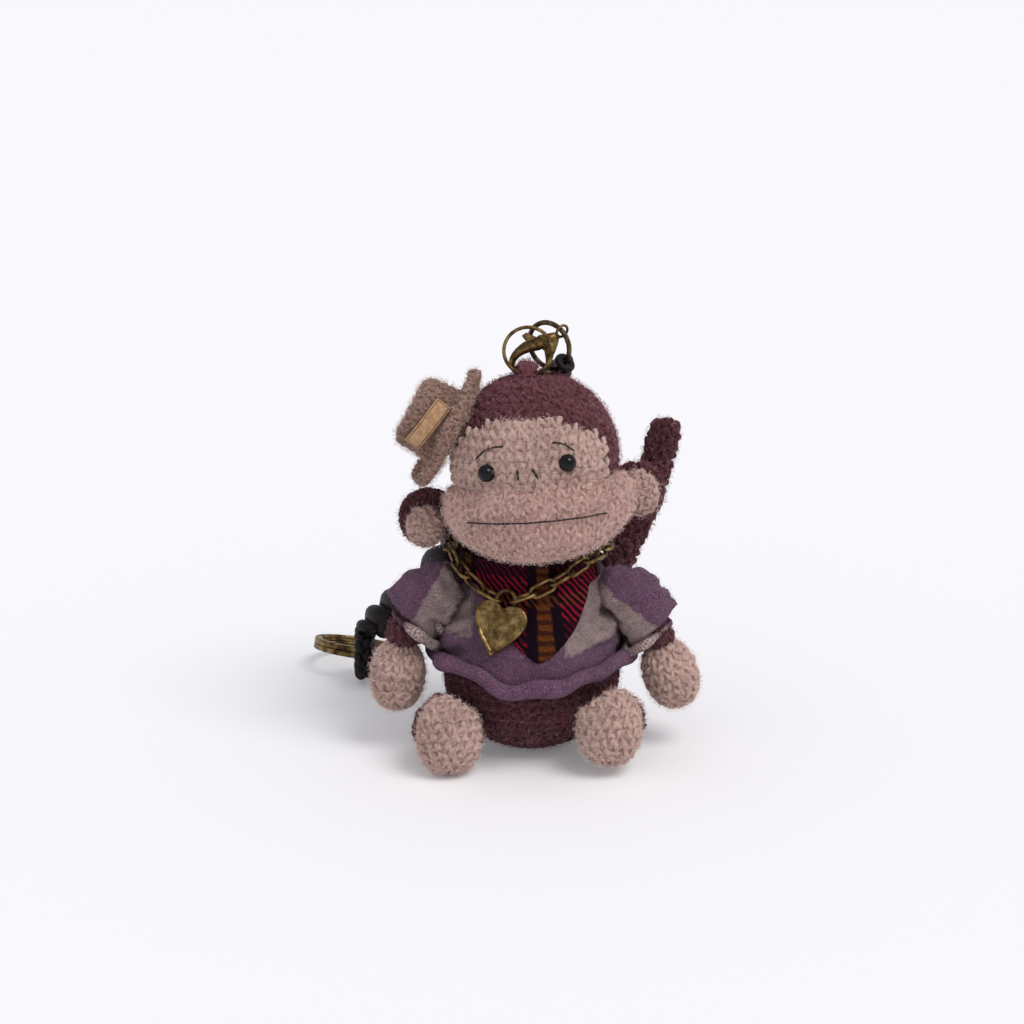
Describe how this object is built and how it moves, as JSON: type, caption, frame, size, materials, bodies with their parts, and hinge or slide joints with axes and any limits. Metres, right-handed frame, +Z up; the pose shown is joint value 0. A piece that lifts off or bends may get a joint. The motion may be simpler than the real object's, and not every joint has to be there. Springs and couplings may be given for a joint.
{
  "type": "crochet monkey charm",
  "caption": "Seated stuffed crochet monkey charm in a knit sweater and tartan bandana, with a necklace, hat, clasp, leather strap and split ring.",
  "frame": {"origin": "centre of the flat under the body, where the monkey sits", "axes": "+Z up, -Y ahead, the way the face looks, +X to the right of someone who looks at the face"},
  "size_m": [0.0965, 0.0928, 0.1024],
  "materials": {
    "burgundy_wool": "fuzzy crochet wool, matt",
    "beige_wool": "fuzzy crochet wool, matt, mottled",
    "hat_wool": "fuzzy crochet wool, matt",
    "purple_knit": "fine machine knit with taupe bands",
    "tartan_cloth": "twill woven tartan",
    "antique_brass": "antiqued, satin, dark in the hollows",
    "dark_brass": "dark antiqued, satin",
    "black_leather": "plaited, soft sheen",
    "black_bead": "high gloss",
    "black_thread": "twisted thread, matt",
    "cork": "thin cork sheet, matt"
  },
  "bodies": {
    "torso": {"body": "burgundy_wool", "sweater_body": "purple_knit", "bandana": "tartan_cloth", "chain_link_1": "antique_brass", "chain_link_2": "antique_brass", "chain_link_3": "antique_brass", "chain_link_4": "antique_brass", "chain_link_5": "antique_brass", "chain_link_6": "antique_brass", "chain_link_7": "antique_brass", "chain_link_8": "antique_brass", "chain_link_9": "antique_brass", "chain_link_10": "antique_brass", "chain_link_11": "antique_brass", "chain_link_12": "antique_brass", "chain_link_13": "antique_brass", "chain_link_14": "antique_brass", "chain_link_15": "antique_brass", "chain_link_16": "antique_brass", "chain_link_17": "antique_brass", "chain_link_18": "antique_brass", "chain_link_19": "antique_brass", "chain_link_20": "antique_brass", "chain_link_21": "antique_brass", "chain_link_22": "antique_brass", "chain_link_23": "antique_brass"},
    "heart": {"heart_pendant": "antique_brass"},
    "head": {"head": "burgundy_wool", "muzzle": "beige_wool", "face_panel": "beige_wool", "eye_left": "black_bead", "eye_right": "black_bead", "brow_left": "black_thread", "brow_right": "black_thread", "mouth_thread": "black_thread", "ear_left": "burgundy_wool", "ear_right": "burgundy_wool", "ear_pad_left": "beige_wool", "ear_pad_right": "beige_wool", "hat": "hat_wool", "hat_label": "cork", "head_loop": "burgundy_wool"},
    "left_arm": {"arm_left": "burgundy_wool", "hand_left": "beige_wool", "sleeve_left": "purple_knit"},
    "right_arm": {"arm_right": "burgundy_wool", "hand_right": "beige_wool", "sleeve_right": "purple_knit"},
    "left_leg": {"leg_left": "burgundy_wool", "foot_left": "beige_wool"},
    "right_leg": {"leg_right": "burgundy_wool", "foot_right": "beige_wool"},
    "tail": {"tail": "burgundy_wool"},
    "jump_ring": {"jump_ring": "antique_brass"},
    "clasp": {"clasp_body": "antique_brass", "clasp_pin": "dark_brass"},
    "lever": {"clasp_lever": "antique_brass"},
    "strap_ring": {"strap_ring": "dark_brass"},
    "strap": {"strap": "black_leather"},
    "split_ring": {"split_ring": "antique_brass"}
  },
  "joints": [
    {"name": "head_turn", "type": "hinge", "parent": "torso", "child": "head", "pos_m": [0.0007, -0.002, 0.0715], "axis": [0, 0, 1], "range_deg": [-20, 20], "stiffness_Nm_per_rad": 0.03},
    {"name": "left_arm_swing", "type": "hinge", "parent": "torso", "child": "left_arm", "pos_m": [-0.0135, 0, 0.0375], "axis": [1, 0, 0], "range_deg": [-20, 20], "stiffness_Nm_per_rad": 0.02},
    {"name": "right_arm_swing", "type": "hinge", "parent": "torso", "child": "right_arm", "pos_m": [0.0135, 0, 0.0375], "axis": [1, 0, 0], "range_deg": [-20, 20], "stiffness_Nm_per_rad": 0.02},
    {"name": "left_leg_lift", "type": "hinge", "parent": "torso", "child": "left_leg", "pos_m": [-0.01347, -0.01347, 0.0105], "axis": [-0.7828, 0.6222, 0], "range_deg": [0, 25], "stiffness_Nm_per_rad": 0.02},
    {"name": "right_leg_lift", "type": "hinge", "parent": "torso", "child": "right_leg", "pos_m": [0.01347, -0.01347, 0.0105], "axis": [-0.7828, -0.6222, 0], "range_deg": [0, 25], "stiffness_Nm_per_rad": 0.02},
    {"name": "tail_swing", "type": "hinge", "parent": "torso", "child": "tail", "pos_m": [0.0055, 0.019, 0.0085], "axis": [0.28, 0.96, 0], "range_deg": [-6, 10], "stiffness_Nm_per_rad": 0.02},
    {"name": "heart_swing", "type": "hinge", "parent": "torso", "child": "heart", "pos_m": [-0.00607, -0.01763, 0.041], "axis": [-0.9455, 0.3256, 0], "range_deg": [0, 5]},
    {"name": "jump_ring_swing", "type": "hinge", "parent": "head", "child": "jump_ring", "pos_m": [-0.001, -0.0016, 0.0908], "axis": [1, 0, 0], "range_deg": [0, 25]},
    {"name": "clasp_swing", "type": "hinge", "parent": "head", "child": "clasp", "pos_m": [-0.001, 0.0016, 0.0904], "axis": [1, 0, 0], "range_deg": [0, 5]},
    {"name": "clasp_lever_open", "type": "hinge", "parent": "clasp", "child": "lever", "pos_m": [0.0034, 0.0016, 0.0976], "axis": [0, 1, 0], "range_deg": [0, 12], "stiffness_Nm_per_rad": 0.002},
    {"name": "strap_ring_swing", "type": "hinge", "parent": "clasp", "child": "strap_ring", "pos_m": [0.0069, 0.0016, 0.1003], "axis": [0.6382, -0.3481, -0.6867], "range_deg": [0, 20]},
    {"name": "strap_swing", "type": "hinge", "parent": "strap_ring", "child": "strap", "pos_m": [0.0076, 0.00208, 0.09264], "axis": [1, 0, 0], "range_deg": [0, 12]},
    {"name": "split_ring_swing", "type": "hinge", "parent": "strap", "child": "split_ring", "pos_m": [-0.042, 0.04, 0.00715], "axis": [0.9891, 0, -0.1474], "range_deg": [0, 15]}
  ]
}
